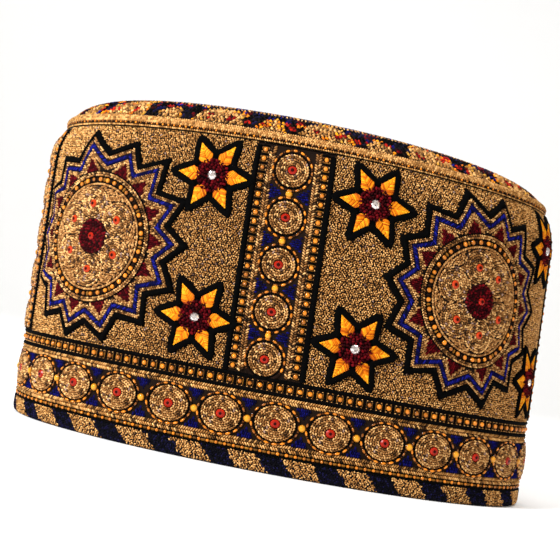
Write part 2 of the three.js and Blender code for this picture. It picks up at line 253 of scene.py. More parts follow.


# One knot of the ground and one longer stitch: points on the cloth and two on the back,
# the faces, and how much lighter the back is painted than the foot: painted light on the top, painted shade
# at the foot
KNOT = (
    np.array([(-0.5, 0, 0), (0, -0.5, 0), (0.5, 0, 0), (0, 0.5, 0), (-0.2, 0, 1), (0.2, 0, 1)]),
    np.array([(0, 1, 4), (1, 5, 4), (1, 2, 5), (2, 3, 5), (3, 4, 5), (3, 0, 4)]),
    0.16,
)
STITCH = (
    np.array([
        (-0.5, 0, 0), (-0.28, -0.5, 0), (0.28, -0.5, 0), (0.5, 0, 0),
        (0.28, 0.5, 0), (-0.28, 0.5, 0), (-0.2, 0, 1), (0.2, 0, 1),
    ]),
    np.array([(0, 1, 6), (1, 2, 7), (1, 7, 6), (2, 3, 7), (3, 4, 7), (4, 5, 6), (4, 6, 7), (5, 0, 6)]),
    0.16,
)


def varied(low, high, n):
    """Chance values between two limits, such as the tones of the stitches in a row."""
    return chances.uniform(low, high, n)


def strewn(shape, places, turns, size, off, thread, tone=None, smooth=True):
    """Copies of one small shape, laid flat at the places and turned. Gives finished work:
    points, faces, the tone of each point with painted light on the shape's top and painted
    shade at its foot, and each face's thread and smoothness."""
    points, faces, painted_top_light = shape
    places = np.asarray(places, float).reshape(-1, 2)
    n = len(places)
    turns, off = np.broadcast_to(turns, n), np.broadcast_to(off, n)
    size = np.broadcast_to(size, (n, 3)) * chances.uniform(0.92, 1.08, (n, 3))
    local = points[None] * size[:, None]
    across = local[..., 0] * np.cos(turns)[:, None] - local[..., 1] * np.sin(turns)[:, None]
    upward = local[..., 0] * np.sin(turns)[:, None] + local[..., 1] * np.cos(turns)[:, None]
    made = np.stack([across + places[:, :1], upward + places[:, 1:], local[..., 2] + off[:, None]], -1)
    tone = varied(0.3, 0.75, n) if tone is None else np.broadcast_to(tone, n)
    # Painted light and shade: each point is lighter the higher it stands on its shape.
    shade = tone[:, None] + painted_top_light * (points[:, 2] - 0.5) + chances.uniform(-0.08, 0.08, (n, len(points)))
    order = (faces[None] + (np.arange(n) * len(points))[:, None, None]).reshape(-1, 3)
    thread = np.repeat(np.broadcast_to(thread, n), len(faces))
    return made.reshape(-1, 3), order, shade.ravel(), thread, np.full(len(order), smooth)


def together(parts):
    points, faces, *rest = zip(*parts)
    starts = np.cumsum([0] + [len(p) for p in points[:-1]])
    moved = [f + start for f, start in zip(faces, starts)]
    return tuple(np.concatenate(part) for part in (points, moved, *rest))


def repeated(work, places):
    points, faces, *rest = work
    n = len(places)
    moved = np.column_stack([np.asarray(places, float), np.zeros(n)])
    made = (points[None] + moved[:, None]).reshape(-1, 3)
    order = (faces[None] + (np.arange(n) * len(points))[:, None, None]).reshape(-1, 3)
    return made, order, *[np.tile(part, n) for part in rest]


def embroidery(name, work, surface, slot, *nodes):
    """Lays finished flat work on the cap as one piece."""
    points, faces, tone, thread, smooth = work
    used, thread_slots = np.unique(thread, return_inverse=True)
    mesh = bpy.data.meshes.new(name)
    mesh.from_pydata(surface(points), [], faces)
    for number in used:
        mesh.materials.append(workbox[number])
    mesh.polygons.foreach_set("material_index", thread_slots.astype(np.int32))
    mesh.polygons.foreach_set("use_smooth", smooth)
    # The tone holds each point's own tone and the painted light and shade of its shape.
    mesh.attributes.new("tone", "FLOAT", "POINT").data.foreach_set("value", tone.astype(np.float32))
    mesh.update()
    piece = bpy.data.objects.new(name, mesh)
    bpy.context.scene.collection.objects.link(piece)
    hand_over(piece, slot, *nodes)


def within(outline, x, y):
    inside = np.zeros(len(x), bool)
    for (x0, y0), (x1, y1) in zip(outline, np.roll(outline, -1, axis=0)):
        crosses = (y0 > y) != (y1 > y)
        inside ^= crosses & (x < (x1 - x0) * (y - y0) / (y1 - y0 if y1 != y0 else 1) + x0)
    return inside


def polar(radius, degrees):
    turn = np.radians(degrees)
    return np.stack([radius * np.cos(turn), radius * np.sin(turn)], -1)


def star_line(tips, cut):
    """The star's zigzag, drawn a cut inside its black cord."""
    turns, reach = np.array(sorted(tips.items())).T
    between = (turns + np.append(turns[1:], turns[0] + 360)) / 2
    tip_corners = (reach - 1.565 * cut)[:, None] * polar(1, turns)
    corners = np.stack([tip_corners, polar(STAR_VALLEY - 1.26 * cut, between)], 1)
    return corners.reshape(-1, 2)


def flower_line():
    return np.concatenate([[polar(r, turn + 60 * i) for r, turn in PETAL_EDGE] for i in range(6)])


def scattered(low, high, pitch, loose=0.28):
    """Places in staggered rows, each a little off its row."""
    wide, tall = pitch
    rows = np.arange(low[1], high[1], tall)
    columns = np.arange(low[0], high[0], wide)
    x, y = np.meshgrid(columns, rows)
    x = x + (np.arange(len(rows)) % 2)[:, None] * wide / 2
    places = np.stack([x.ravel(), y.ravel()], 1)
    return places + chances.uniform(-loose, loose, places.shape) * [wide, tall]


def every_way(n):
    return chances.choice([-1, 1], n) * chances.uniform(0.25, 1.35, n)


def stitch_level(nodes, links, grain, clamp=False):
    """How light a stitch or bead is: its own tone with painted light on top and painted shade at its foot,
    varied along its fibres or streaks.
    """
    tone = add_node(nodes, "Attribute", attribute_name="tone")
    places = add_node(nodes, "TexCoord")
    fibres = add_node(nodes, "TexNoise", [("Scale", grain), ("Detail", 2)])
    shade = add_node(nodes, "Math", [(1, 0.5)], operation="MULTIPLY_ADD")
    level = add_node(nodes, "Math", [(1, 0.25)], operation="SUBTRACT", use_clamp=clamp)
    links.new(places.outputs["Object"], fibres.inputs["Vector"])
    links.new(fibres.outputs["Fac"], shade.inputs[0])
    links.new(tone.outputs["Fac"], shade.inputs[2])
    links.new(shade.outputs[0], level.inputs[0])
    return level.outputs[0], fibres.outputs["Fac"]


def add_ramp(nodes, links, factor, dark, light):
    ramp = add_node(nodes, "ValToRGB")
    ramp.color_ramp.elements[0].color = dyed(*dark)
    ramp.color_ramp.elements[1].color = dyed(*light)
    links.new(factor, ramp.inputs["Fac"])
    return ramp


def spun(name, dark, middle, light, roughness, metallic=0.0, grain=1500, shine=0.15):
    """A thread: its tone varies from stitch to stitch, and along the fibres."""
    settings = [("Roughness", roughness), ("Metallic", metallic), ("Specular IOR Level", shine)]
    material, nodes, links, finish = new_finish(name, settings)
    level, fibres = stitch_level(nodes, links, grain)
    ramp = add_ramp(nodes, links, level, dark, light)
    ramp.color_ramp.elements.new(0.5).color = dyed(*middle)
    links.new(ramp.outputs["Color"], finish.inputs["Base Color"])
    add_bump(nodes, links, finish, fibres, 0.45, 0.0002)
    return kept(material)


gold_thread = spun("gold_metal_thread", (28, 14, 5), (170, 117, 58), (230, 180, 112), 0.45, metallic=0.4)
pale_silk = spun("pale_lilac_silk", (52, 36, 30), (124, 94, 80), (170, 140, 124), 0.7, shine=0.05)

places = scattered((0, GROUND_LOW), (RIM, GROUND_HIGH), GROUND_PITCH)
drawn = np.interp(from_front(places[:, 0]), SEWN_PLACES, DRAWN_PLACES)
bare = np.ones(len(places), bool)
for middle in BANDS.values():
    bare &= np.abs(from_front(places[:, 0] - middle)) > BAND_ROOM
for s, z, tips in STARS.values():
    bare &= ~within(star_line(tips, -STAR_ROOM), from_front(drawn - s), places[:, 1] - z)
for s, z in FLOWERS.values():
    bare &= ~within(flower_line() * FLOWER_ROOM, from_front(drawn - s), places[:, 1] - z)
places = places[bare]
thread = np.where(varied(0, 1, len(places)) < PALE_SHARE, pale_silk, gold_thread)
turns = every_way(len(places))
ground = strewn(KNOT, places, turns, (1.15, 0.62, 0.55), 0.0, thread, varied(0.18, 0.92, len(places)))
embroidery("wall_ground_stitches", ground, on_wall, "gold_cloth")

# Lines above the roundel border: a black cord, a row of amber beads in dark cells,
# a second black cord and a plaited gold braid, couched down all the way round.
UPPER_CORD, BEAD_ROW, LOWER_CORD, UPPER_BRAID = 33.5, 31.0, 28.5, 26.8


def even_steps(path, closed, step):
    """Places a step apart along a path, with the path's direction at each."""
    path = np.asarray(path, float)
    if closed:
        path = np.vstack([path, path[:1]])
    lengths = np.concatenate([[0], np.cumsum(np.linalg.norm(np.diff(path, axis=0), axis=1))])
    n = max(2, int(round(lengths[-1] / step)))
    at = (np.arange(n) + (0 if closed else 0.5)) / n * lengths[-1]
    places = np.stack([np.interp(at, lengths, path[:, i]) for i in (0, 1)], 1)
    leg = np.clip(np.searchsorted(lengths, at, side="right") - 1, 0, len(path) - 2)
    way = path[leg + 1] - path[leg]
    return places, np.arctan2(way[:, 1], way[:, 0])


def braid(path, closed, width, thread, off=0.0, step=0.95):
    """Two rows of slanted stitches that meet like a plait."""
    places, way = even_steps(path, closed, step)
    side = np.stack([-np.sin(way), np.cos(way)], 1) * width / 4
    size = (width * 0.66, 0.68, 0.75)
    left = strewn(STITCH, places + side, way + 0.9, size, off, thread, varied(0.0, 0.95, len(places)))
    ahead = np.stack([np.cos(way), np.sin(way)], 1) * step / 2
    beside = places - side + ahead
    right = strewn(STITCH, beside, way - 0.9, size, off, thread, varied(0.0, 0.95, len(places)))
    return together([left, right])


def smooth_work(points, faces, tone, thread):
    """One smooth form as finished work, all in one thread."""
    n = len(faces)
    return points, faces, np.full(len(points), tone), np.full(n, thread), np.full(n, True)


def cord(path, closed, width, height, thread, off=0.0, step=3.0, tone=0.5):
    """A couched cord: a rounded ridge that follows the path, mitred at its corners."""
    path = np.asarray(path, float)
    ends = np.vstack([path, path[:1]]) if closed else path
    legs = []
    for start, end in zip(ends[:-1], ends[1:]):
        count = max(2, int(np.ceil(np.linalg.norm(end - start) / step)) + 1)
        legs.append(np.linspace(start, end, count)[:-1])
    line = np.vstack(legs + ([] if closed else [ends[-1:]]))
    ahead = np.roll(line, -1, axis=0) - line
    if not closed:
        ahead[-1] = ahead[-2]
    ahead /= np.linalg.norm(ahead, axis=1, keepdims=True)
    behind = np.roll(ahead, 1, axis=0)
    if not closed:
        behind[0] = ahead[0]
    out_a, out_b = ([[0, 1], [-1, 0]] @ ahead.T).T, ([[0, 1], [-1, 0]] @ behind.T).T
    mitre = (out_a + out_b) / (1 + np.sum(out_a * out_b, axis=1, keepdims=True))
    profile = np.array([(-1, 0), (-0.82, 0.7), (-0.35, 1), (0.35, 1), (0.82, 0.7), (1, 0)])
    n, m = len(line), len(profile)
    flat = line[:, None] + mitre[:, None] * profile[None, :, :1] * width / 2
    rise = off + np.broadcast_to(profile[:, 1] * height, (n, m))
    points = np.concatenate([flat, rise[..., None]], -1).reshape(-1, 3)
    i, j = np.meshgrid(np.arange(n if closed else n - 1), np.arange(m - 1), indexing="ij")
    a, b = i * m + j, (i + 1) % n * m + j
    halves = [(b, a + 1, a), (b, b + 1, a + 1)]
    faces = np.concatenate([np.stack(half, -1).reshape(-1, 3) for half in halves])
    if not closed:
        fan = np.array([(0, k, k + 1) for k in range(1, m - 1)])
        faces = np.concatenate([faces, fan[:, ::-1], fan + (n - 1) * m])
    return smooth_work(points, faces, tone + varied(-0.15, 0.15, len(points)), thread)


def picked_up(piece):
    """Takes a modelled shape off the table as points and triangles."""
    piece.data.calc_loop_triangles()
    points = np.zeros(len(piece.data.vertices) * 3)
    piece.data.vertices.foreach_get("co", points)
    faces = np.zeros(len(piece.data.loop_triangles) * 3, int)
    piece.data.loop_triangles.foreach_get("vertices", faces)
    bpy.data.objects.remove(piece)
    return points.reshape(-1, 3), faces.reshape(-1, 3)


def in_order(points, faces):
    """The same shape, its points and faces sorted by place, because a cut leaves them mixed."""
    order = np.lexsort(np.round(points, 5).T)
    faces = np.argsort(order)[faces]
    first = faces.argmin(1)[:, None]
    faces = np.take_along_axis(faces, (first + np.arange(3)) % 3, 1)
    return points[order], faces[np.lexsort(faces.T)]


def glass_bead_shape(sides, rings):
    """A round bead with its lower third cut away, where it sinks into the cloth."""
    bpy.ops.object.select_all(action="DESELECT")
    bpy.ops.mesh.primitive_uv_sphere_add(segments=sides, ring_count=rings, radius=0.5)
    bead = bpy.context.object
    sunk = 0.2
    bpy.ops.object.mode_set(mode="EDIT")
    bpy.ops.mesh.select_all(action="SELECT")
    bpy.ops.mesh.bisect(plane_co=(0, 0, -sunk), plane_no=(0, 0, 1), clear_inner=True, use_fill=False)
    bpy.ops.object.mode_set(mode="OBJECT")
    points, faces = in_order(*picked_up(bead))
    # The 1.1 paints a highlight on the bead's top and painted shade round its sunk rim.
    return points + [0, 0, sunk], faces, 1.1


BEAD = glass_bead_shape(10, 8)
SMALL_BEAD = glass_bead_shape(6, 6)


def glass(name, dark, light, roughness=0.12, coat=0.25, shine=0.28):
    settings = [("Roughness", roughness), ("Specular IOR Level", shine), ("Coat Weight", coat)]
    material, nodes, links, finish = new_finish(name, [*settings, ("Coat Roughness", 0.05)])
    level, streaks = stitch_level(nodes, links, 900, clamp=True)
    colour = add_node(nodes, "Mix", [("A", dyed(*dark)), ("B", dyed(*light))], data_type="RGBA")
    links.new(level, colour.inputs["Factor"])
    links.new(colour.outputs["Result"], finish.inputs["Base Color"])
    return kept(material)


black_wool = spun("black_wool_cord", (1, 1, 1), (3, 3, 3), (16, 13, 15), 0.9, shine=0.03)
amber_glass = glass("amber_glass", (34, 10, 1), (226, 132, 28), coat=0.08)
brown_silk = spun("dark_brown_silk", (5, 3, 1), (30, 14, 6), (96, 54, 20), 0.6, shine=0.05)
gold_silk = spun("old_gold_silk", (48, 28, 4), (136, 86, 16), (214, 158, 56), 0.55)


def round_the_rim(z, step=3.0):
    s = np.linspace(0, RIM, int(RIM / step) + 1)
    return np.stack([s, np.full(len(s), z)], 1)


def bead_cells(path, step, size, width, gold, off=0.0):
    """Amber beads in a row, a dark bar between two, and gold specks at their corners."""
    places, way = even_steps(path, False, step)
    n = len(places)
    along = np.stack([np.cos(way), np.sin(way)], 1) * step
    side = np.stack([-np.sin(way), np.cos(way)], 1) * width
    upright = way + math.pi / 2
    bead_size, bar_size = (size, size, size * 0.8), (width * 0.98, step * 0.34, 0.7)
    parts = [
        strewn(BEAD, places, way, bead_size, off + 0.1, amber_glass, varied(0.2, 0.9, n)),
        strewn(STITCH, places + along / 2, upright, bar_size, off, black_wool, 0.35),
    ]
    for k in (-1, 1):
        beside, line_size = places + along * k * 0.3, (width * 0.8, 0.42, 0.5)
        parts.append(strewn(STITCH, beside, upright, line_size, off, gold_silk, varied(0.0, 0.5, n)))
        for m in (-1, 1):
            specks = places + side * k * 0.4 + along * m * 0.22
            parts.append(strewn(KNOT, specks, way, (0.75, 0.5, 0.7), off, gold, varied(0.3, 0.9, n)))
    return together(parts)


upper_lines = [
    cord(round_the_rim(UPPER_CORD), False, 1.35, 0.85, black_wool),
    bead_cells(round_the_rim(BEAD_ROW), 3.69, 1.9, 3.6, gold_thread),
    cord(round_the_rim(LOWER_CORD), False, 1.15, 0.8, black_wool),
    braid(round_the_rim(UPPER_BRAID), False, 2.8, gold_thread),
]
embroidery("upper_border_lines", together(upper_lines), on_wall, "gold_cloth")

# Roundel border. A ribbon all the way round with twenty-seven coils of gold cord, each
# round a red stone. A chain of amber and dark beads runs round every coil and meets the
# next one at a yellow bead, with a corner of blue silk above and below.
ROUNDELS, FIRST_ROUNDEL, BORDER_MIDDLE = 27, 5.3, 18.3
ROUNDEL_HALF_WIDTH, ROUNDEL_HALF_HEIGHT = 7.6, 6.6
BORDER_LOW, BORDER_HIGH, BORDER_PROUD = 10.9, 25.7, 0.5
ROUNDEL_PITCH = RIM / ROUNDELS
COIL_STITCH = (1.36, 0.64, 0.7)
# How far a roundel stands from its even place: its place from the front middle, then the shift
ROUNDEL_DRIFT = np.array([
    (-RIM / 2, 0), (-120, 0), (-74, -1.8), (-53, -1.2), (-34, -0.1), (-14, 0), (5, 0.3),
    (25, 0.8), (45, 1.5), (64, 1.6), (84, 0.9), (120, 0), (RIM / 2, 0),
])

coil_gold = spun("gold_coil_cord", (26, 12, 4), (150, 100, 50), (232, 184, 118), 0.45, metallic=0.35)
blue_silk = spun("blue_silk", (2, 2, 18), (9, 9, 76), (24, 28, 132), 0.6, grain=2200, shine=0.04)
red_glass = glass("red_orange_glass", (56, 1, 0), (204, 36, 4), 0.25, coat=0.0, shine=0.2)
# The stone's eye: a dark disc on each stone's table, painted shade for the dark centre the stone shows.
stone_eye = glass("stone_eye_painted_shade", (10, 1, 0), (62, 6, 2), 0.4, coat=0.0, shine=0.05)
bead_yellow = glass("yellow_glass", (84, 34, 2), (242, 164, 32), coat=0.1)
# The pads use the same cloth, near black as painted shade between their stitches.
padding = kept(gap_shaded_ground_cotton)


def oval(half_width, half_height, n=48):
    turn = np.arange(n) / n * 2 * math.pi
    return np.stack([half_width * np.cos(turn), half_height * np.sin(turn)], 1)


def cut_stone_shape():
    """A rose-cut stone: a ring of facets up to a table, with a small sunk eye."""
    thick = 0.3
    bpy.ops.object.select_all(action="DESELECT")
    bpy.ops.mesh.primitive_cylinder_add(vertices=10, radius=1, depth=thick, location=(0, 0, thick / 2))
    bpy.ops.object.transform_apply(location=True)
    stone = bpy.context.object
    bpy.ops.object.mode_set(mode="EDIT")
    bpy.ops.mesh.select_mode(type="FACE")
    bpy.ops.mesh.select_all(action="DESELECT")
    bpy.ops.object.mode_set(mode="OBJECT")
    for face in stone.data.polygons:
        face.select = face.normal.z > 0.9
    bpy.ops.object.mode_set(mode="EDIT")
    bpy.ops.mesh.inset(thickness=0.3, depth=0.42)
    bpy.ops.mesh.inset(thickness=0.2, depth=0.06)
    bpy.ops.object.mode_set(mode="OBJECT")
    # The -0.5 paints the stone lighter at its girdle and darker up to its table: painted glints and painted
    # shade.
    return (*picked_up(stone), -0.5)


# The eye is a dark disc sunk in the table, painted as shade.
def stone_eye_shape():
    size, middle = {"radius1": 0.42, "radius2": 0.32, "depth": 0.06}, (0, 0, 0.79)
    bpy.ops.object.select_all(action="DESELECT")
    bpy.ops.mesh.primitive_cone_add(vertices=8, end_fill_type="TRIFAN", location=middle, **size)
    bpy.ops.object.transform_apply(location=True)
    return (*picked_up(bpy.context.object), 0.16)


STONE, EYE = cut_stone_shape(), stone_eye_shape()


def round_pad(sides, rings, shape, tone, thread):
    """A low pad of wadding under the stitches: a flat sheet drawn together to a middle."""
    pad = flat_sheet(sides, rings)
    reshape(pad, shape)
    close_seams(pad, 1e-4)
    points, faces = picked_up(pad)
    corner = points[faces]
    face_down = np.cross(corner[:, 1] - corner[:, 0], corner[:, 2] - corner[:, 0])[:, 2] < 0
    faces[face_down] = faces[face_down][:, ::-1]
    return smooth_work(points, faces, tone, thread)


def padded_dome(half_width, half_height, low, high, sides):
    def shape(p):
        turn, share = p[:, 0] * 2 * math.pi, p[:, 1]
        rise = low + (high - low) * np.sqrt(np.maximum(0, 1 - share**2))
        rise = np.where(share > 0.999, low - 0.5, rise)
        return np.stack([half_width * share * np.cos(turn), half_height * share * np.sin(turn), rise], 1)

    return round_pad(sides, 4, shape, 0.4, padding)


def flat_ribbon(columns, rows, low, high, face, edge, edge_ends):
    """A ribbon between two corners, with its edges turned down to the cloth."""
    size = np.subtract(high, low)
    ribbon = flat_sheet(columns, rows)
    reshape(ribbon, lambda p: p * [*size, 0] + [*low, face])
    points, faces = picked_up(ribbon)
    turned_down = np.isclose(points[:, 1], low[1]) | np.isclose(points[:, 1], high[1])
    if edge_ends:
        turned_down |= np.isclose(points[:, 0], low[0]) | np.isclose(points[:, 0], high[0])
    points[turned_down, 2] = edge
    return smooth_work(points, faces, 0.4, padding)


def with_pale(n, share):
    return np.where(varied(0, 1, n) < share, pale_silk, coil_gold)


def coil(rings, low, high, reach):
    """Rings of slanted stitches, turned one way and then the other."""
    parts = []
    for i, (half_width, half_height) in enumerate(rings):
        places, way = even_steps(oval(half_width, half_height), True, 1.0)
        share = half_width / reach
        off = low + (high - low) * math.sqrt(max(0, 1 - share**2))
        tilt = 0.5 if i % 2 else -0.5
        thread = with_pale(len(places), 0.04)
        tone = varied(0.05, 1.0, len(places))
        parts.append(strewn(STITCH, places, way + tilt, COIL_STITCH, off, thread, tone))
    return parts


def bead_chain(half_width, half_height, count, off, lowest=-math.inf):
    """Amber beads on a brown thread, round a coil."""
    path = oval(half_width, half_height, 96)
    around = np.sum(np.linalg.norm(np.roll(path, -1, axis=0) - path, axis=1))
    places, way = even_steps(path, True, around / count)
    is_thread = np.arange(len(places)) % 2 == 1
    stay = places[:, 1] > lowest
    size = np.where(is_thread, 0.6, 1.45)[:, None] * [around / count, 0, 0] + [0, 1.0, 0.95]
    thread = np.where(is_thread, brown_silk, amber_glass)[stay]
    return strewn(SMALL_BEAD, places[stay], way[stay], size[stay], off, thread, varied(0.1, 0.9, stay.sum()))


def set_stone(radius, off, stone_glass):
    tilt = chances.uniform(0, 0.6)
    stone_size, eye_size = (radius, radius, radius * 0.55), (radius, radius, radius * 0.62)
    return [
        strewn(STONE, [(0, 0)], tilt, stone_size, off, stone_glass, 0.55, smooth=False),
        strewn(EYE, [(0, 0)], tilt, eye_size, off, stone_eye, 0.4, smooth=False),
    ]


def blue_corner(places, turn, off):
    return strewn(STITCH, places, turn, (1.4, 0.74, 0.6), off, blue_silk, varied(0.0, 0.6, len(places)))


border_rings = [(7.05, 6.1), (6.15, 5.3), (5.2, 4.5), (4.25, 3.65), (3.35, 2.9), (2.45, 2.15)]
roundel = together([
    padded_dome(ROUNDEL_HALF_WIDTH, ROUNDEL_HALF_HEIGHT, BORDER_PROUD, 1.2, 20),
    *coil(border_rings, BORDER_PROUD, 1.3, ROUNDEL_HALF_WIDTH),
    cord(oval(7.75, 6.72, 32), True, 0.55, 0.5, black_wool, off=BORDER_PROUD),
    cord(oval(8.75, 7.3, 40), True, 1.3, 0.35, brown_silk, off=BORDER_PROUD - 0.05, tone=0.3),
    bead_chain(8.75, 7.3, 34, 0.65),
    *set_stone(1.65, 1.2, red_glass),
    strewn(BEAD, [(ROUNDEL_PITCH / 2, 0)], 0, (2.7, 2.7, 1.9), 0.6, bead_yellow, 0.55),
])
corner_places = scattered((-3.4, 2.6), (3.4, 7.3), (0.8, 0.95), 0.15)
corner_reach = 3.1 * (np.maximum(corner_places[:, 1] - 2.4, 0) / 4.8) ** 1.1
corner_places = corner_places[np.abs(corner_places[:, 0]) < corner_reach]
between_roundels = [ROUNDEL_PITCH / 2, 0]
corners = together([
    blue_corner(corner_places * [1, k] + between_roundels, math.pi / 2, BORDER_PROUD - 0.05) for k in (-1, 1)
])

even = from_front(FIRST_ROUNDEL + np.arange(ROUNDELS) * ROUNDEL_PITCH)
roundel_places = [(s, BORDER_MIDDLE) for s in even + np.interp(even, *ROUNDEL_DRIFT.T)]
border = together([
    flat_ribbon(156, 8, (0, BORDER_LOW), (RIM, BORDER_HIGH), BORDER_PROUD, 0.1, edge_ends=False),
    repeated(together([roundel, corners]), roundel_places),
])
embroidery("roundel_border_embroidery", border, on_wall, "roundel_embroidery", "roundel_border")

# Lines under the border: a second gold braid, a row of small amber beads on old-gold
# silk, and the black cord that covers the top of the hem.
LOWER_BRAID, THIN_CORD, SMALL_BEAD_ROW, HEM_CORD, SMALL_BEADS = 9.9, 8.35, 7.75, 6.55, 164
bead_places = even_steps(round_the_rim(SMALL_BEAD_ROW), False, RIM / SMALL_BEADS)[0]
n = len(bead_places)
between_beads = bead_places + [RIM / SMALL_BEADS / 2, 0.0]
lower_lines = [
    braid(round_the_rim(LOWER_BRAID), False, 2.8, gold_thread, off=0.15),
    strewn(SMALL_BEAD, bead_places, 0, (1.45, 1.35, 1.1), 0.2, amber_glass, varied(0.3, 0.8, n)),
    strewn(STITCH, between_beads, 0, (2.0, 1.0, 0.55), 0.15, gold_silk, varied(0.1, 0.5, n)),
    cord(round_the_rim(THIN_CORD), False, 0.45, 0.5, black_wool),
    cord(round_the_rim(HEM_CORD), False, 1.0, 0.85, black_wool),
]
embroidery("lower_border_lines", together(lower_lines), on_wall, "gold_cloth")

# Hem. A folded band of cotton that carries the cap, covered with seed stitches in
# slanted stripes of navy and gold whose edges are ragged.
HEM_HEIGHT, STRIPES, STRIPE_FIRST, STRIPE_NAVY, STRIPE_SLANT = 6.0, 26, -19.8, 9.3, 4.8
# The folded section: how far a point lies out from the rim, and how high
HEM_SECTION = np.array([
    (-0.9, 0), (-0.25, 0.1), (0.2, 0.7), (0.5, 1.5), (0.6, 2.4), (0.6, 4.4), (0.6, 6),
    (-0.8, 6), (-2.7, 6), (-2.7, 0.9), (-2.5, 0.2), (-2.2, 0), (-0.9, 0),
])
# How far the stripes stand from their even place: the place from the front middle, then the shift
STRIPE_DRIFT = np.array([(-180, 0), (-110, 3.8), (-67.7, 3.8), (-23.4, 0)])


def on_hem(points):
    s, z, off = points.T
    angle = rim_angle(s)
    outward = np.stack([np.sin(angle) / HALF_WIDTH, -np.cos(angle) / HALF_DEPTH, np.zeros(len(s))], 1)
    outward /= np.linalg.norm(outward, axis=1, keepdims=True)
    return (cap_form(angle, 1, z) + outward * off[:, None]) * MM


def hem_fold(points):
    at, steps = points[:, 1] * (len(HEM_SECTION) - 1), np.arange(len(HEM_SECTION))
    off, z = [np.interp(at, steps, column) for column in HEM_SECTION.T]
    return on_hem(np.stack([points[:, 0] * RIM, z, off], 1))


def hem_face(points):
    lifted = points.copy()
    lifted[:, 2] += np.interp(points[:, 1], [0, 0.7, 2.4, 6], [-0.75, 0.2, 0.6, 0.6])
    placed = on_hem(lifted)
    placed[:, 2] = np.maximum(placed[:, 2], 0.02 * MM)
    return placed


hem_cotton = cotton("navy_hem_cotton", (2, 2, 5), (8, 7, 15), nap=0)
hem = cloth_sheet("hem_band_cloth", 176, len(HEM_SECTION) - 1, hem_cotton)
reshape(hem, hem_fold)
close_seams(hem)
bpy.ops.object.shade_smooth_by_angle(angle=math.radians(40))
hand_over(hem, "striped_hem", "hem_band")

navy_silk = spun("navy_silk", (1, 1, 3), (4, 3, 14), (24, 22, 62), 0.6, grain=2200, shine=0.05)
places = scattered((0, 0.45), (RIM, 6.1), (1.02, 0.7), 0.3)
n = len(places)
along = places[:, 0] + np.interp(from_front(places[:, 0]), *STRIPE_DRIFT.T)
slant = STRIPE_SLANT * (1 - places[:, 1] / HEM_HEIGHT)
navy = (along - STRIPE_FIRST - slant + chances.normal(0, 0.4, n)) % (RIM / STRIPES) < STRIPE_NAVY
tone = np.where(navy, varied(0.0, 0.9, n), varied(0.15, 0.95, n))
thread = np.where(navy, navy_silk, gold_thread)
seeds = strewn(KNOT, places, every_way(n), (1.35, 0.78, 0.5), -0.05, thread, tone)
embroidery("hem_stripe_stitches", seeds, hem_face, "striped_hem")

# Upright bands. A strip with five coiled roundels in a row, a gold braid and a column
# of beads on either side, and a black cord along each edge.
BAND_LOW, BAND_HIGH, BAND_HALF_WIDTH, BAND_PROUD = 35.4, 117.2, 14.9, 0.35
BAND_PITCH = 17.3
BAND_COILS = [(-0.4, 40.3 + BAND_PITCH * i) for i in range(5)]
BAND_CORD, BAND_BEADS, BAND_BRAID = 14.25, 11.55, 8.7
BAND_RINGS = [5.7, 4.85, 3.95, 3.05, 2.2]


def straight_up(x):
    z = np.linspace(BAND_LOW - 0.8, BAND_HIGH, 30)
    return np.stack([np.full(len(z), x), z], 1)


band_coil = together([
    padded_dome(6.2, 6.2, BAND_PROUD, 1.0, 16),
    *coil([(radius, radius) for radius in BAND_RINGS], BAND_PROUD, 1.1, 6.3),
    cord(oval(6.4, 6.4, 28), True, 0.5, 0.5, black_wool, off=BAND_PROUD),
    cord(oval(7.25, 7.4, 32), True, 1.4, 0.3, brown_silk, off=BAND_PROUD - 0.05, tone=0.3),
    *set_stone(1.55, 1.0, red_glass),
])
band_low, band_high = (-BAND_HALF_WIDTH, BAND_LOW), (BAND_HALF_WIDTH, BAND_HIGH)
band_work = [flat_ribbon(8, 28, band_low, band_high, BAND_PROUD, 0.05, edge_ends=True)]
for side in (-1, 1):
    band_work += [
        cord(straight_up(side * BAND_CORD), False, 2.15, 1.0, black_wool, off=0.05, tone=0.45),
        bead_cells(straight_up(side * BAND_BEADS), 3.3, 1.8, 3.1, coil_gold, off=BAND_PROUD - 0.05),
        braid(straight_up(side * BAND_BRAID), False, 2.5, coil_gold, off=BAND_PROUD - 0.05),
    ]
band_work.append(repeated(band_coil, BAND_COILS))
for i, (x, z) in enumerate(BAND_COILS):
    band_work.append(repeated(bead_chain(7.25, 7.4, 32, BAND_PROUD, lowest=BAND_LOW - z), [(x, z)]))
    if i:
        between = [(x, z - BAND_PITCH / 2)]
        band_work.append(strewn(BEAD, between, 0, (2.5, 2.5, 1.9), 0.4, bead_yellow, 0.55))
side_corner = scattered((2.6, -3.4), (6.9, 3.4), (0.95, 0.8), 0.15)
side_reach = 3.0 * (np.maximum(side_corner[:, 0] - 2.4, 0) / 4.4) ** 1.2
side_corner = side_corner[np.abs(side_corner[:, 1]) < side_reach]
for x, z in BAND_COILS[1:]:
    for side in (-1, 1):
        between = side_corner * [side, 1] + [x, z - BAND_PITCH / 2]
        band_work.append(blue_corner(between, 0.0, BAND_PROUD - 0.05))
band_work = together(band_work)
for name, middle in BANDS.items():
    laid = repeated(band_work, [(middle, 0)])
    embroidery(name + "_embroidery", laid, on_wall, "roundel_embroidery", name)

# Star medallions. Fourteen points drawn by a black cord and, inside it, a blue one, with
# gold stitches between, red corners, a rope and a ring of beads. In the middle six
# small coils stand round a knotted maroon heart, and each holds a stone.
maroon_silk = spun("maroon_silk", (12, 0, 2), (54, 1, 6), (112, 12, 20), 0.6, grain=2200, shine=0.04)
orange_glass = glass("orange_glass", (80, 8, 1), (226, 66, 6), 0.25, coat=0.0, shine=0.2)
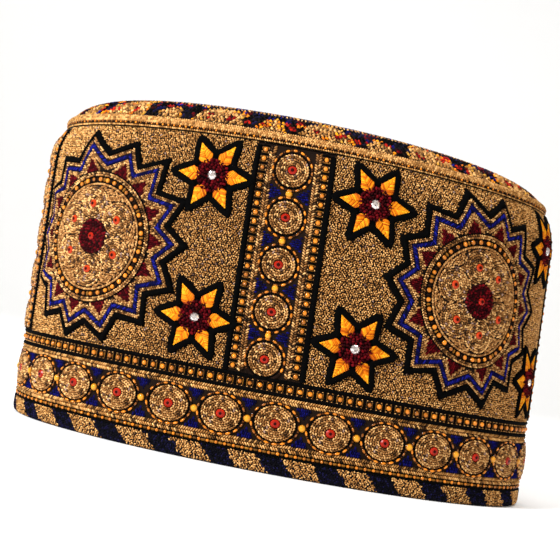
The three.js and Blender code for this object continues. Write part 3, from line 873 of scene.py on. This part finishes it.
# Where the six coils stand round the heart, in degrees
SMALL_COILS = {
    "star_front_right": [102, 50, -24.5, -83, -138, 161],
    "star_front_left": [98, 34, -29, -90, -150, 152],
    "star_back_right": [40 + 60 * i for i in range(6)],
    "star_back_left": [40 + 60 * i for i in range(6)],
}
COIL_RING, HEART, DISC, BEAD_RING, BEADS_IN_RING, ROPE = 12.7, 6.3, 19.7, 22.15, 80, 24.3
BLUE_CUT, GOLD_CUTS = 3.2, ((1.65, 1.3), (4.75, 1.4))
CORNER_FOOT, CORNER_TIP, CORNER_SPREAD = 25.6, 31.2, 0.62
# How proud the padding stands at a distance from the star's middle
RISE_AT, RISE = [0, 6.2, 6.9, 20.4, 21, 25.2, 26, 45], [1.65, 1.55, 1.25, 1.2, 0.95, 0.95, 0.75, 0.7]


def star_rise(radius):
    return np.interp(radius, RISE_AT, RISE)


def star_pad(tips):
    line = star_line(tips, 0)
    turns = np.degrees(np.arctan2(line[:, 1], line[:, 0])) % 360
    order = np.argsort(turns)
    closed_turns = np.append(turns[order], turns[order][0] + 360)
    closed_line = np.vstack([line[order], line[order][:1]])

    def shape(p):
        turn = closed_turns[0] + p[:, 0] * 360
        edge = np.stack([np.interp(turn, closed_turns, closed_line[:, i]) for i in (0, 1)], 1)
        radius = np.linalg.norm(edge, axis=1) * p[:, 1]
        rise = np.where(p[:, 1] > 0.999, 0.0, star_rise(radius))
        return np.column_stack([edge * p[:, 1:2], rise])

    return round_pad(112, 12, shape, 0.4, padding)


def turned(places, turn):
    return places @ np.array([[math.cos(turn), math.sin(turn)], [-math.sin(turn), math.cos(turn)]])


def knots(rings, off):
    """Chunky maroon knots in rings, each turned its own way."""
    parts = []
    for radius, count in rings:
        turn = np.arange(count) / count * 2 * math.pi + chances.uniform(0, 1)
        places = np.stack([radius * np.cos(turn), radius * np.sin(turn)], 1)
        places += chances.uniform(-0.2, 0.2, (count, 2))
        way = chances.uniform(0, math.pi, count)
        tone = varied(0.1, 0.9, count)
        parts.append(strewn(STITCH, places, way, (1.45, 1.0, 0.85), off, maroon_silk, tone))
    return parts


def star_edge(tips):
    """The black cord and the blue one inside it, with a gold braid along each."""
    blue_line = star_line(tips, BLUE_CUT)
    parts = [
        cord(star_line(tips, 0), True, 2.35, 1.3, black_wool, off=0.1, tone=0.4),
        cord(blue_line, True, 1.9, 0.5, blue_silk, off=0.7, tone=0.1),
    ]
    places, way = even_steps(blue_line, True, 0.8)
    tone = varied(0.0, 0.95, len(places))
    parts.append(strewn(STITCH, places, way + 0.75, (2.1, 0.8, 0.6), 0.95, blue_silk, tone))
    for cut, width in GOLD_CUTS:
        parts.append(braid(star_line(tips, cut), True, width, coil_gold, off=0.7, step=0.9))
    return parts


def star_corners(tips):
    """A corner of maroon stitches in each point, edged with gold."""
    parts = []
    for tip in tips:
        spots = scattered((CORNER_FOOT, -5.4), (CORNER_TIP + 1, 5.4), (0.85, 0.8), 0.15)
        half_width = (CORNER_TIP - spots[:, 0]) * CORNER_SPREAD
        spots = spots[np.abs(spots[:, 1]) < half_width + 1.1]
        is_edge = np.abs(spots[:, 1]) > (CORNER_TIP - 0.3 - spots[:, 0]) * CORNER_SPREAD
        thread, turn = np.where(is_edge, coil_gold, maroon_silk), math.radians(tip)
        tone = varied(0.2, 0.8, len(spots))
        parts.append(strewn(STITCH, turned(spots, turn), turn, (1.3, 0.8, 0.65), 0.75, thread, tone))
    return parts


def thin_ring(radius, width, height, off):
    return cord(oval(radius, radius, 90), True, width, height, black_wool, off=off)


def star_rings():
    """The gold rope and the ring of beads round the disc, from outside in."""
    parts = [
        thin_ring(ROPE + 1, 0.5, 0.55, 0.9),
        braid(oval(ROPE, ROPE, 90), True, 1.9, coil_gold, off=0.95),
        thin_ring(ROPE - 1.05, 0.45, 0.5, 0.95),
    ]
    bead_path = oval(BEAD_RING, BEAD_RING, 120)
    around, way = even_steps(bead_path, True, 2 * math.pi * BEAD_RING / BEADS_IN_RING)
    amber = np.arange(len(around)) % 2 == 0
    bars = np.arange((~amber).sum())
    bar_thread = np.where(bars % 3, brown_silk, gold_silk)
    tone = varied(0.2, 0.9, amber.sum())
    parts += [
        strewn(BEAD, around[amber], way[amber], (1.85, 1.85, 1.4), 1.0, amber_glass, tone),
        strewn(STITCH, around[~amber], way[~amber] + math.pi / 2, (2.0, 0.9, 0.8), 1.0, bar_thread, 0.4),
        thin_ring(BEAD_RING - 1.05, 0.5, 0.5, 1.0),
    ]
    places, way = even_steps(oval(20.4, 20.4, 120), True, 1.0)
    parts.append(strewn(STITCH, places, way + 0.4, (1.5, 0.85, 0.6), 1.15, coil_gold))
    return parts


def star_disc(middles):
    """Six small coils, each round its stone, and loose rows of gold between them."""
    parts, coil_places = [], []
    for i, middle in enumerate(middles):
        for k, ring in enumerate((1.95, 2.85, 3.75, 4.65, 5.55, 6.5)):
            places, way = even_steps(oval(ring, ring, 40), True, 1.0)
            places = places + middle
            far = np.linalg.norm(places[:, None] - middles[None], axis=2)
            radius = np.linalg.norm(places, axis=1)
            stay = (far.argmin(1) == i) & (radius > HEART + 0.5) & (radius < DISC - 0.1)
            places, way, radius = places[stay], way[stay] + (0.55 if k % 2 else -0.55), radius[stay]
            coil_places.append(places)
            thread = with_pale(len(places), 0.08)
            tone = varied(0.05, 1.0, len(places))
            parts.append(strewn(STITCH, places, way, COIL_STITCH, star_rise(radius), thread, tone))
        parts.append(repeated(together(set_stone(1.5, 1.45, orange_glass)), [middle]))
    rest = scattered((-20, -20), (20, 20), (0.95, 0.8), 0.3)
    radius = np.linalg.norm(rest, axis=1)
    near = np.linalg.norm(rest[:, None] - np.vstack(coil_places)[None], axis=2).min(1)
    stay = (radius < DISC) & (radius > HEART + 0.4) & (near > 0.8)
    rest, radius = rest[stay], radius[stay]
    way = np.arctan2(rest[:, 1], rest[:, 0]) + math.pi / 2 + chances.uniform(-0.8, 0.8, len(rest))
    parts.append(strewn(STITCH, rest, way, (1.3, 0.74, 0.6), star_rise(radius), coil_gold))
    return parts


for name, (s, z, tips) in STARS.items():
    star = together([
        star_pad(tips),
        *star_edge(tips),
        *star_corners(tips),
        *star_rings(),
        *star_disc(polar(COIL_RING, SMALL_COILS[name])),
        *knots([(6.2, 28), (5.2, 24), (4.2, 19), (3.2, 14), (2.2, 10), (1.4, 6)], 1.55),
        *set_stone(1.4, 2.0, red_glass),
    ])
    embroidery(name + "_embroidery", repeated(star, [(s, z)]), on_pulled_wall, "star_embroidery", name)

# Flowers. Six petals in orange satin stitch, edged with a black cord, round a knotted
# maroon middle that holds a clear stone.
orange_satin = spun("orange_satin", (136, 46, 2), (222, 118, 6), (246, 178, 32), 0.5, grain=2600, shine=0.08)
PETAL_STITCHES = np.arange(5.0, 13.0, 0.36)


def foiled_glass(name, dark, light):
    """Clear glass over foil, with the light its facets catch painted on as bright and dark patches."""
    settings = [("Metallic", 0.85), ("Roughness", 0.07), ("Coat Weight", 1.0)]
    material, nodes, links, finish = new_finish(name, settings)
    places = add_node(nodes, "TexCoord")
    # Painted glints: patches of the colour are made light and dark, standing in for facets catching the
    # light.
    facets = add_node(nodes, "TexVoronoi", [("Scale", 1500)])
    links.new(places.outputs["Object"], facets.inputs["Vector"])
    ramp = add_ramp(nodes, links, facets.outputs["Color"], dark, light)
    ramp.color_ramp.elements[1].position = 0.55
    links.new(ramp.outputs["Color"], finish.inputs["Base Color"])
    return kept(material)


clear_glass = foiled_glass("clear_foiled_glass", (96, 84, 84), (236, 226, 222))


def petal_half_width(r):
    return np.interp(r, [4.5, 6.2, 13.5], [1.9, 2.75, 0.0])


def flower_pad():
    line = flower_line()

    def shape(p):
        edge = line[np.rint(p[:, 0] * len(line)).astype(int) % len(line)]
        rise = np.interp(p[:, 1], [0, 0.4, 0.6, 1], [1.2, 1.15, 0.8, 0.7])
        return np.column_stack([edge * p[:, 1:2], np.where(p[:, 1] > 0.999, 0.0, rise)])

    return round_pad(len(line), 5, shape, 0.3, black_wool)


def petal(turn):
    """Satin stitches that slant from the petal's middle line to both edges."""
    parts, n = [], len(PETAL_STITCHES)
    half = petal_half_width(PETAL_STITCHES + 0.4)
    size = np.stack([half * 1.26 + 0.3, np.full(n, 0.56), np.full(n, 0.55)], 1)
    for side in (-1, 1):
        middle = np.stack([PETAL_STITCHES + 0.3 * half, side * half * 0.5], 1)
        slant = np.arctan2(side * half, 0.75 * half)
        tone = np.interp(PETAL_STITCHES, [5, 8, 13], [0.3, 0.55, 0.85]) + varied(-0.4, 0.4, n)
        off = 0.75 + 0.12 * half
        parts.append(strewn(STITCH, turned(middle, turn), slant + turn, size, off, orange_satin, tone))
    return parts


for name, (s, z) in FLOWERS.items():
    flower = [flower_pad(), cord(flower_line(), True, 2.8, 1.25, black_wool, off=0.1, step=1.6, tone=0.4)]
    for i in range(6):
        flower += petal(math.radians(60 * i))
    flower += knots([(5.7, 30), (4.7, 22), (3.8, 17), (2.9, 13), (2.0, 9)], 1.15)
    flower.append(strewn(STONE, [(0, 0)], 0.3, (1.7, 1.7, 1.2), 1.4, clear_glass, 0.5, smooth=False))
    laid = repeated(together(flower), [(s, z)])
    embroidery(name + "_embroidery", laid, on_pulled_wall, "flower_embroidery", name)

# Crown. A low stiff dome of cotton with a rounded edge. Gold arches, wide and narrow in
# turn, stand round its foot on navy, with red between their tops. The rest, which the
# photograph hides, is plain rows of gold with two lines of colour and a toothed one.
# Places on it are (s, h, off): h is the distance up the dome from the seam.
CROWN_THICKNESS, CROWN_FOOT, CROWN_MEAN_RADIUS = 2.2, 0.4, 80
ARCHES, WIDE_FIRST, ARCH_FOOT, ARCH_ROOM = 12, 9.5, 4, 17
WIDE_ARCH, NARROW_ARCH = (11, 13), (6.2, 8.5)
RED_SPOT_AT, RED_SPOT_UP, RED_SPOT_RADIUS = 4.6, 8.6, 1.7
PATCH_WIDE, PATCH_TALL, PATCHES = 2.6, 2.2, 4000
TEETH, TEETH_FOOT, TEETH_TALL = 48, 19.5, 6
ROW_FIRST, ROW_PITCH, CROWN_STITCH_PITCH = 4.9, 1.12, 1.45


def dome_height(share):
    return CROWN_RISE * (1 - share**8) ** 0.55


shares = 1 - np.linspace(0, 1, 4001) ** 3
dome_steps = np.hypot(CROWN_MEAN_RADIUS * np.diff(shares), np.diff(dome_height(shares)))
climb = np.concatenate([[0], np.cumsum(dome_steps)])
CROWN_REACH = climb[-1]


def dome_form(angle, up):
    share = np.interp(up, climb, shares)
    return cap_form(angle, wall_scale(SEAM_HEIGHT) * share, SEAM_HEIGHT + dome_height(share))


def on_crown(points):
    s, h, off = points.T
    made = stand_off(dome_form, rim_angle(s), np.minimum(h, CROWN_REACH - 0.3), off, 0.05)
    middle = h > CROWN_REACH - 0.3
    top, flat = np.full(middle.sum(), SEAM_HEIGHT + CROWN_RISE), np.zeros(middle.sum())
    made[middle] = (cap_form(flat, 0, top) + np.stack([flat, flat, off[middle]], 1)) * MM
    return made


def dome_sheet(points):
    up = CROWN_FOOT + (CROWN_REACH - CROWN_FOOT) * points[:, 1] ** 1.4
    return on_crown(np.stack([points[:, 0] * RIM, up, np.zeros(len(points))], 1))


crown = cloth_sheet("crown_cloth", 176, 40, gap_shaded_ground_cotton, lining_cotton)
reshape(crown, dome_sheet)
close_seams(crown, 2e-6)
give_thickness(crown, CROWN_THICKNESS * MM, lining=1)
bpy.ops.object.shade_smooth_by_angle(angle=math.radians(50))
hand_over(crown, "crown_embroidery", "crown")

ARCH_PITCH = RIM / ARCHES
red_silk = spun("red_silk", (56, 2, 3), (128, 9, 10), (190, 40, 18), 0.6, grain=2200, shine=0.05)
# Rings above the arches: from, to, thread
CROWN_RINGS = [
    (16.9, 18.1, black_wool), (28, 29.2, black_wool), (29.2, 31.4, maroon_silk), (31.4, 32.6, black_wool),
    (56, 57.2, black_wool), (57.2, 59.4, blue_silk), (59.4, 60.6, black_wool),
]


def dome_width(h):
    """A row's true length up the dome, as a share of the rim's."""
    return np.interp(h, climb, shares)


rows = []
for h in np.arange(ROW_FIRST, CROWN_REACH - 1.5, ROW_PITCH):
    count = max(5, int(RIM * 0.96 * float(dome_width(h)) / CROWN_STITCH_PITCH))
    at = (np.arange(count) + chances.uniform(0, 1)) / count * RIM
    rows.append(np.stack([at, np.full(count, h)], 1))
places = np.vstack(rows)
stretch = 1 / np.maximum(0.03, dome_width(places[:, 1]))
places = places + chances.uniform(-0.25, 0.25, places.shape) * np.stack([stretch, np.ones(len(stretch))], 1)
at, h = places.T

wide = (at - WIDE_FIRST + ARCH_PITCH / 2) % ARCH_PITCH - ARCH_PITCH / 2
narrow = (at - WIDE_FIRST) % ARCH_PITCH - ARCH_PITCH / 2
wide_share = np.hypot(wide / WIDE_ARCH[0], (h - ARCH_FOOT) / WIDE_ARCH[1])
narrow_share = np.hypot(narrow / NARROW_ARCH[0], (h - ARCH_FOOT) / NARROW_ARCH[1])
red_spot = np.hypot(np.abs(wide) - RED_SPOT_AT, h - RED_SPOT_UP) < RED_SPOT_RADIUS
saw = np.abs((at / RIM * TEETH) % 1 - 0.5) * 2
teeth = (h > TEETH_FOOT) & (h < TEETH_FOOT + 1 + TEETH_TALL * saw) & (h < TEETH_FOOT + 6.5)

luck = varied(0, 1, len(h))
patch_number = (at / PATCH_WIDE).astype(int) * 7 + (h / PATCH_TALL).astype(int) * 331
patch = varied(0, 1, PATCHES)[patch_number % PATCHES]
field = [navy_silk, blue_silk, maroon_silk, red_silk, orange_satin]
thread = np.select([patch < 0.34, patch < 0.38, patch < 0.5, patch < 0.58, patch < 0.64], field, black_wool)
flecks = [orange_satin, red_silk, gold_silk]
flecked = np.select([patch < 0.04, patch < 0.07, luck < 0.08], flecks, gold_thread)
edges = [orange_satin, red_silk, navy_silk]
edged = np.select([patch < 0.2, patch < 0.3, patch < 0.5], edges, gold_silk)
thread = np.where((wide_share < 1) | (narrow_share < 1), edged, thread)
thread = np.where((wide_share < 0.9) | (narrow_share < 0.82), flecked, thread)
thread = np.where(red_spot & (luck < 0.6), red_silk, thread)
thread = np.where(h > ARCH_ROOM, gold_thread, thread)
thread = np.where(teeth, np.where(luck < 0.5, blue_silk, navy_silk), thread)
for low, high, ring_thread in CROWN_RINGS:
    thread = np.where((h > low) & (h < high), ring_thread, thread)
row_tilt = np.where((h / ROW_PITCH).astype(int) % 2, 0.45, -0.45)
turns = np.where(h < ARCH_ROOM, every_way(len(h)), row_tilt)


def crown_stitches(places, turn, size, off, thread, tone):
    """Stitches on the dome keep their true width, however short the row is."""
    points, *rest = strewn(STITCH, np.zeros((len(places), 2)), turn, size, off, thread, tone)
    points = points.reshape(len(places), -1, 3)
    points[..., 0] *= (1 / np.maximum(0.03, dome_width(places[:, 1])))[:, None]
    points[..., :2] += places[:, None]
    return points.reshape(-1, 3), *rest


crown_work = crown_stitches(places, turns, (1.55, 0.9, 0.65), 0.0, thread, varied(0.1, 0.9, len(h)))
embroidery("crown_stitches", crown_work, on_crown, "crown_embroidery")

# Piping. A padded gold braid round the foot of the crown with a row of tiny beads under
# it, between two black threads that cover the seam.
PIPING_LOW, PIPING_HIGH, PIPING_PROUD = 1.35, 4.1, 1.0
SEAM_CORD, PIPING_BEADS, PIPING_CORD, TINY_BEADS = 0.1, 1.5, 4.6, 420
# Rows of slanted stitches: how far up the dome, and how proud
PIPING_ROWS = [(0.75, 0.2), (2.25, 0.95), (2.9, 1.0), (3.5, 0.85), (4.05, 0.55)]


def piping_pad(points):
    up = PIPING_LOW + (PIPING_HIGH - PIPING_LOW) * points[:, 1]
    off = 0.1 + PIPING_PROUD * np.sin(math.pi * points[:, 1]) ** 0.6
    return on_crown(np.stack([points[:, 0] * RIM, up, off], 1))


piping = cloth_sheet("crown_piping_pad", 176, 6, gap_shaded_ground_cotton)
reshape(piping, piping_pad)
close_seams(piping)
bpy.ops.object.shade_smooth()
hand_over(piping, "gold_piping", "crown_piping")

piping_work = []
for i, (up, off) in enumerate(PIPING_ROWS):
    places = even_steps(round_the_rim(up), False, 0.95)[0] + [0.5 * (i % 2), 0]
    tilt, tone = np.full(len(places), 0.8 if i % 2 else -0.8), varied(0.2, 0.9, len(places))
    piping_work.append(crown_stitches(places, tilt, (1.3, 0.74, 0.6), off, gold_thread, tone))
places = even_steps(round_the_rim(PIPING_BEADS), False, RIM / TINY_BEADS)[0]
thread = np.where(np.arange(len(places)) % 2, amber_glass, brown_silk)
piping_work += [
    strewn(SMALL_BEAD, places, 0, (1.0, 0.85, 0.8), 0.6, thread, varied(0.1, 0.9, len(places))),
    cord(round_the_rim(PIPING_CORD), False, 0.5, 0.5, black_wool, off=0.1),
    cord(round_the_rim(SEAM_CORD), False, 0.8, 0.75, black_wool),
]
embroidery("crown_piping_braid", together(piping_work), on_crown, "gold_piping")

# Floor, light and camera: a white table that rises into a white wall, a large soft light
# from the left, a warmer one from the right, and the camera low in front of the cap,
# turned as the photograph is.
BEND_START, BEND_RUN, BEND_RADIUS, FLOOR_WIDTH, FLOOR_RUN = 1.2, 0.9, 0.57, 8, 6


def sweep(p):
    along = (p[:, 1] - 0.5) * FLOOR_RUN
    bend = np.clip((along - BEND_START) / BEND_RUN, 0, 1) * math.pi / 2
    y = np.minimum(along, BEND_START) + BEND_RADIUS * np.sin(bend)
    z = BEND_RADIUS * (1 - np.cos(bend)) + np.maximum(0, along - BEND_START - BEND_RUN)
    return np.stack([(p[:, 0] - 0.5) * FLOOR_WIDTH, y, z - 0.1 * MM], 1)


white_paper, nodes, links, finish = new_finish("white_paper", [("Roughness", 0.9)])
finish.inputs["Base Color"].default_value = (0.965, 0.98, 1, 1)
paper_grain = add_node(nodes, "TexNoise", [("Scale", 300)])
add_bump(nodes, links, finish, paper_grain.outputs["Fac"], 0.02, 0.001)
floor = cloth_sheet("white_sweep", 2, 40, white_paper)
reshape(floor, sweep)
bpy.ops.object.shade_smooth()

world = bpy.data.worlds.new("soft_room")
world.use_nodes = True
world.node_tree.nodes["Background"].inputs["Color"].default_value = (1, 0.95, 0.87, 1)
world.node_tree.nodes["Background"].inputs["Strength"].default_value = 0.6
scene = bpy.context.scene
scene.world = world


def soft_light(name, place, size, power, colour):
    lamp = bpy.data.lights.new(name, "AREA")
    lamp.size = size
    lamp.energy = power
    lamp.color = colour
    light = bpy.data.objects.new(name, lamp)
    light.location = place
    light.rotation_euler = (Vector((0, 0, 0.06)) - Vector(place)).to_track_quat("-Z", "Y").to_euler()
    scene.collection.objects.link(light)


soft_light("key_left", (-0.75, -0.9, 0.75), 0.3, 24, (0.97, 0.98, 1.0))
soft_light("fill_right", (0.9, -0.7, 0.35), 0.6, 0.8, (1.0, 0.66, 0.34))
soft_light("top", (0.1, 0.2, 1.2), 0.8, 8.5, (1, 1, 1))

CAMERA_PLACE = Vector((23.1, -496.85, 53.5)) * MM
FACING_X, FACING_Y = -0.0547, 0.9985
PITCH, ROLL = 0.037, 0.184
SENSOR, FOCAL_PIXELS, PHOTO_PIXELS = 36, 1200, 560
ahead = Vector((FACING_X * math.cos(PITCH), FACING_Y * math.cos(PITCH), math.sin(PITCH))).normalized()
level = ahead.cross(Vector((0, 0, 1))).normalized()
upward = level.cross(ahead)
right = math.cos(ROLL) * level + math.sin(ROLL) * upward
above = -math.sin(ROLL) * level + math.cos(ROLL) * upward
lens = bpy.data.cameras.new("camera")
lens.sensor_width = SENSOR
lens.lens = SENSOR * FOCAL_PIXELS / PHOTO_PIXELS
lens.clip_start, lens.clip_end = 0.01, 50
camera = bpy.data.objects.new("camera", lens)
camera.matrix_world = Matrix.Translation(CAMERA_PLACE) @ Matrix([right, above, -ahead]).transposed().to_4x4()
scene.collection.objects.link(camera)
scene.camera = camera
scene.view_settings.view_transform = "Standard"
